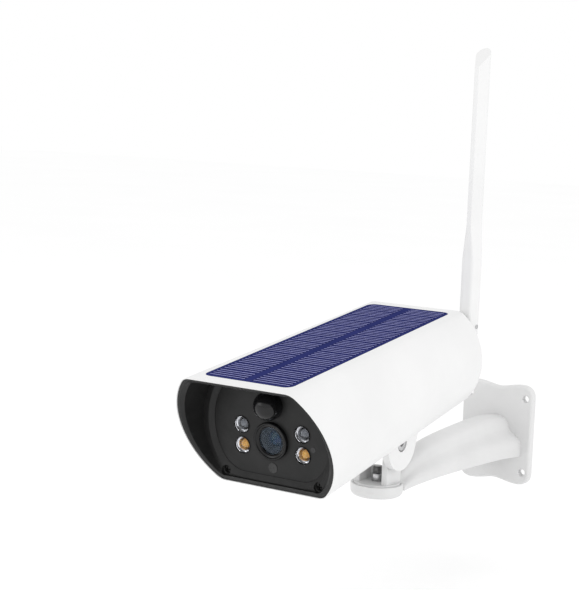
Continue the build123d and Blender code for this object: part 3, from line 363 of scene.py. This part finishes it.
def make_stud():
    """Helical thread over a plain collar, all round the pan axis."""
    bm = bmesh.new()
    steps, rows = 64, 150
    s = STUD
    rings = []
    for k in range(rows + 1):
        z = s["low"] + (s["high"] - s["low"]) * k / rows
        ring = []
        for i in range(steps):
            wave = abs(((z / s["pitch"] - i / steps) % 1.0) * 2 - 1)
            r = min(s["r"], s["r"] - s["depth"] + 1.15 * s["depth"] * wave)
            t = 2 * math.pi * i / steps
            ring.append(bm.verts.new((r * math.cos(t), r * math.sin(t) - ARM_REACH, z)))
        rings.append(ring)
    for one, two in zip(rings, rings[1:]):
        for i in range(steps):
            j = (i + 1) % steps
            bm.faces.new((one[i], one[j], two[j], two[i]))
    bm.faces.new(rings[0][::-1])
    bm.faces.new(rings[-1])
    c = COLLAR
    root, shoulder = s["r"] - s["depth"], c["r"] - c["chamfer"]
    profile = [(root, c["low"]), (shoulder, c["low"]), (c["r"], c["low"] + c["chamfer"]),
               (c["r"], c["high"] - c["chamfer"]), (shoulder, c["high"]), (root, c["high"])]
    collar = bmesh.new()
    lathe(collar, profile, steps=steps, mat=1)
    collar.transform(Matrix.Translation((0, -ARM_REACH, 0)) @ Matrix.Rotation(math.pi / 2, 4, "X"))
    spare = bpy.data.meshes.new("collar")
    collar.to_mesh(spare)
    collar.free()
    bm.from_mesh(spare)
    bpy.data.meshes.remove(spare)
    piece("pan_stud_thread", bm, "pan_stud", [LOOKS["thread"], LOOKS["steel"]], Matrix.Identity(4), sharp=45)


def screw_head(bm, x, y, z, radius, height, facing, slot, shank_r, shank_l):
    """Screw with a cross recess. Facing is -1 for the front and 1 for the back; slot is (half width, depth)."""
    steps, rows = 72, 16
    rings = [[bm.verts.new((x, y + facing * (height - 0.9 * slot[1]), z))]]
    for k in range(1, rows + 1):
        r = radius * k / rows
        ring = []
        for i in range(steps):
            t = 2 * math.pi * i / steps
            u, v = r * math.cos(t), r * math.sin(t)
            across = min(abs(u), abs(v))
            beside = max(0.0, min(1.0, (slot[0] - across) / 0.25))
            inside = max(0.0, min(1.0, (0.72 * radius - r) / 0.3))
            cut = beside * inside
            dome = height * (1 - 0.35 * (r / radius) ** 2)
            ring.append(bm.verts.new((x + u, y + facing * (dome - slot[1] * cut), z + v)))
        rings.append(ring)
    for r, depth in ((radius, 0.0), (shank_r, 0.0), (shank_r, -shank_l)):
        rings.append([bm.verts.new((x + r * math.cos(2 * math.pi * i / steps), y + facing * depth,
                                    z + r * math.sin(2 * math.pi * i / steps))) for i in range(steps)])
    for one, two in zip(rings, rings[1:]):
        for i in range(steps):
            j = (i + 1) % steps
            corners = [one[i % len(one)], one[j % len(one)], two[j], two[i]]
            bm.faces.new(list(dict.fromkeys(corners)))
    bm.faces.new(rings[-1])


CAP_SCREWS = [(-17.0, 35.0), (17.0, 35.0), (-16.0, -12.61), (16.0, -12.61)]
CAP_HEAD_Y = 167.4
BEZEL_SCREWS = [(-32.3, -22.5), (32.3, -22.5)]


def make_screws():
    bm = bmesh.new()
    for x, z in CAP_SCREWS:
        screw_head(bm, x, CAP_HEAD_Y, z, 2.6, 1.8, 1, (0.38, 0.9), 1.25, 10.4)
    piece("back_plate_screws_cross", bm, "back_plate_screws", sharp=30)
    bm = bmesh.new()
    for x, z in BEZEL_SCREWS:
        screw_head(bm, x, 0.6, z, 2.9, 1.5, -1, (0.38, 0.8), 1.5, 10.5)
    piece("bezel_screws_cross", bm, "bezel_screws", sharp=30)


# ---------------------------------------------------------------- solar roof
SUN = {"w": 60.0, "y0": -23.3, "l": 185.6, "top": 42.0, "rows": 13, "gap": 0.9, "edge": 2.2, "spine": 5.0}


def rounded_plate(bm, w, y0, y1, z0, z1, r, steps=10):
    outline = []
    right, left, front, back = w / 2 - r, r - w / 2, y0 + r, y1 - r
    for cx, cy, t0 in ((right, front, -90), (right, back, 0), (left, back, 90), (left, front, 180)):
        outline += [(cx + r * math.cos(math.radians(t0 + 90 * i / steps)),
                     cy + r * math.sin(math.radians(t0 + 90 * i / steps))) for i in range(steps + 1)]
    low = [bm.verts.new((x, y, z0)) for x, y in outline]
    high = [bm.verts.new((x, y, z1)) for x, y in outline]
    bm.faces.new(high)
    bm.faces.new(low[::-1])
    for i in range(len(outline)):
        j = (i + 1) % len(outline)
        bm.faces.new((low[i], low[j], high[j], high[i]))


def make_solar():
    s = SUN
    z = s["top"] + 0.08
    bm = bmesh.new()
    rounded_plate(bm, s["w"], s["y0"], s["y0"] + s["l"], s["top"] - 0.9, z, 5.0)
    piece("solar_laminate", bm, "solar_cover", bevel=0.12)
    bm = bmesh.new()
    row = (s["l"] - 2 * s["edge"] - (s["rows"] - 1) * s["gap"]) / s["rows"]
    col = (s["w"] - 2 * s["edge"] - s["spine"]) / 2
    fingers, finger_w, short = 4, 0.62, 0.5
    for k in range(s["rows"]):
        y0 = s["y0"] + s["edge"] + k * (row + s["gap"])
        for side in (-1, 1):
            a, b = sorted((side * s["spine"] / 2, side * (s["spine"] / 2 + col)))
            box(bm, a, b, y0, y0 + row, z - 0.06, z + 0.03, 0)
            for n in range(fingers):
                yf = y0 + row * (n + 0.5) / fingers
                box(bm, a + short, b - short, yf - finger_w / 2, yf + finger_w / 2, z, z + 0.055, 1)
    piece("solar_cell_strips", bm, "solar_cells", [LOOKS["cell_blue"], LOOKS["cell_finger"]])


make_lens()
make_lamps()
make_motion_lens()
make_stud()
make_screws()
make_solar()


# ---------------------------------------------------------------- floor, light and camera
def make_floor():
    """Pale floor, low enough that the head at full tilt stays above it."""
    size, drop = 6.0, 0.055
    bm = bmesh.new()
    bmesh.ops.create_grid(bm, x_segments=2, y_segments=2, size=size)
    mesh = bpy.data.meshes.new("floor")
    bm.to_mesh(mesh)
    floor = bpy.data.objects.new("floor", mesh)
    floor.location.z = cad_box[0].z - drop
    bpy.context.scene.collection.objects.link(floor)
    mesh.materials.append(moulded("floor_paint", grey(0.985), grey(0.995), (0.8, 0.9), 300, 0.002, 3,
                                  Specular_IOR_Level=0.0))


def softbox(name, aim, direction, distance, size, power):
    """Square area light that looks at a point from a direction."""
    data = bpy.data.lights.new(name, "AREA")
    data.size, data.energy = size, power
    lamp = bpy.data.objects.new(name, data)
    d = Vector(direction).normalized()
    lamp.location = Vector(aim) + d * distance
    lamp.rotation_mode = "QUATERNION"
    lamp.rotation_quaternion = d.to_track_quat("Z", "Y")
    bpy.context.scene.collection.objects.link(lamp)


def make_light():
    world = bpy.data.worlds.new("studio")
    bpy.context.scene.world = world
    world.use_nodes = True
    world.node_tree.nodes["Background"].inputs["Color"].default_value = (1, 1, 1, 1)
    world.node_tree.nodes["Background"].inputs["Strength"].default_value = 1.0
    middle = (cad_box[0] + cad_box[1]) / 2
    softbox("front_box", middle, (0.09, -0.86, 0.50), 1.3, 0.35, 1.1)
    softbox("left_box", middle, (-0.53, -0.80, 0.25), 1.3, 0.6, 1.4)
    softbox("side_box", middle, (0.95, -0.1, 0.35), 1.6, 1.2, 5.0)
    bpy.context.scene.view_settings.view_transform = "Standard"


def make_camera():
    azimuth, elevation, roll = math.radians(34.42), math.radians(13.42), math.radians(-2.273)
    back = Vector((math.sin(azimuth) * math.cos(elevation), -math.cos(azimuth) * math.cos(elevation),
                   math.sin(elevation)))
    right = Vector((math.cos(azimuth), math.sin(azimuth), 0.0))
    up = back.cross(right)
    right2 = math.cos(roll) * right + math.sin(roll) * up
    up2 = back.cross(right2)
    turn = Matrix((right2, up2, back)).transposed().to_4x4()
    data = bpy.data.cameras.new("camera")
    data.lens, data.sensor_width = 97.16, 36.0
    data.clip_start, data.clip_end = 0.05, 30.0
    cam = bpy.data.objects.new("camera", data)
    cam.matrix_world = HEAD @ Matrix.Translation(Vector((506.3, -715.0, 295.1)) * MM) @ turn
    bpy.context.scene.collection.objects.link(cam)
    bpy.context.scene.camera = cam


make_floor()
make_light()
make_camera()
